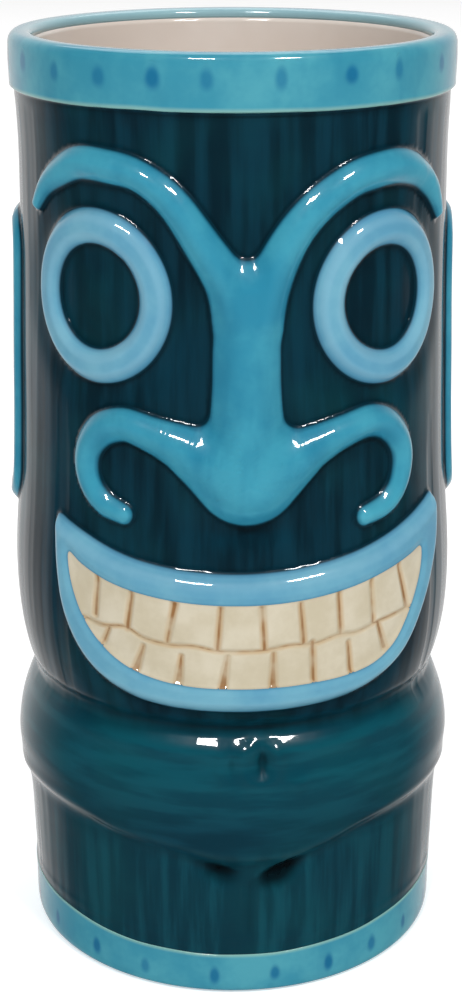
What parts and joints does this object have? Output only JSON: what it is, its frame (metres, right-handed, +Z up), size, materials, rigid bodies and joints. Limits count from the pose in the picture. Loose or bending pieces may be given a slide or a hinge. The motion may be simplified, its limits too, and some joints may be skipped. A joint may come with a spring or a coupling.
{
  "type": "tiki mug",
  "caption": "Tall glazed earthenware cup with a carved grinning face, bulging belly and legs, in teal and turquoise, with banded rim and base.",
  "frame": {"origin": "centre of the flat base, on the surface the mug stands on", "axes": "+Z up along the cup's axis, -Y out of the face, +X to the right of a person who looks at the face"},
  "size_m": [0.0806, 0.0838, 0.165],
  "materials": {
    "body_glaze": "glossy",
    "interior_glaze": "glossy",
    "turquoise_glaze": "glossy",
    "pale_blue_glaze": "glossy",
    "spot_glaze": "glossy",
    "tooth_glaze": "glossy",
    "line_stain": "glossy"
  },
  "bodies": {
    "root": {"body_shell": "body_glaze", "interior_glaze": "interior_glaze", "rim_band": "turquoise_glaze", "rim_spots": "spot_glaze", "base_band": "turquoise_glaze", "base_spots": "spot_glaze", "brow_left": "turquoise_glaze", "brow_right": "turquoise_glaze", "eye_ring_left": "pale_blue_glaze", "eye_ring_right": "pale_blue_glaze", "nose": "turquoise_glaze", "nostril_left": "turquoise_glaze", "nostril_right": "turquoise_glaze", "lips": "pale_blue_glaze", "upper_teeth": "tooth_glaze", "lower_teeth": "tooth_glaze", "tooth_lines": "line_stain", "ear_left": "turquoise_glaze", "ear_right": "turquoise_glaze"}
  },
  "joints": []
}
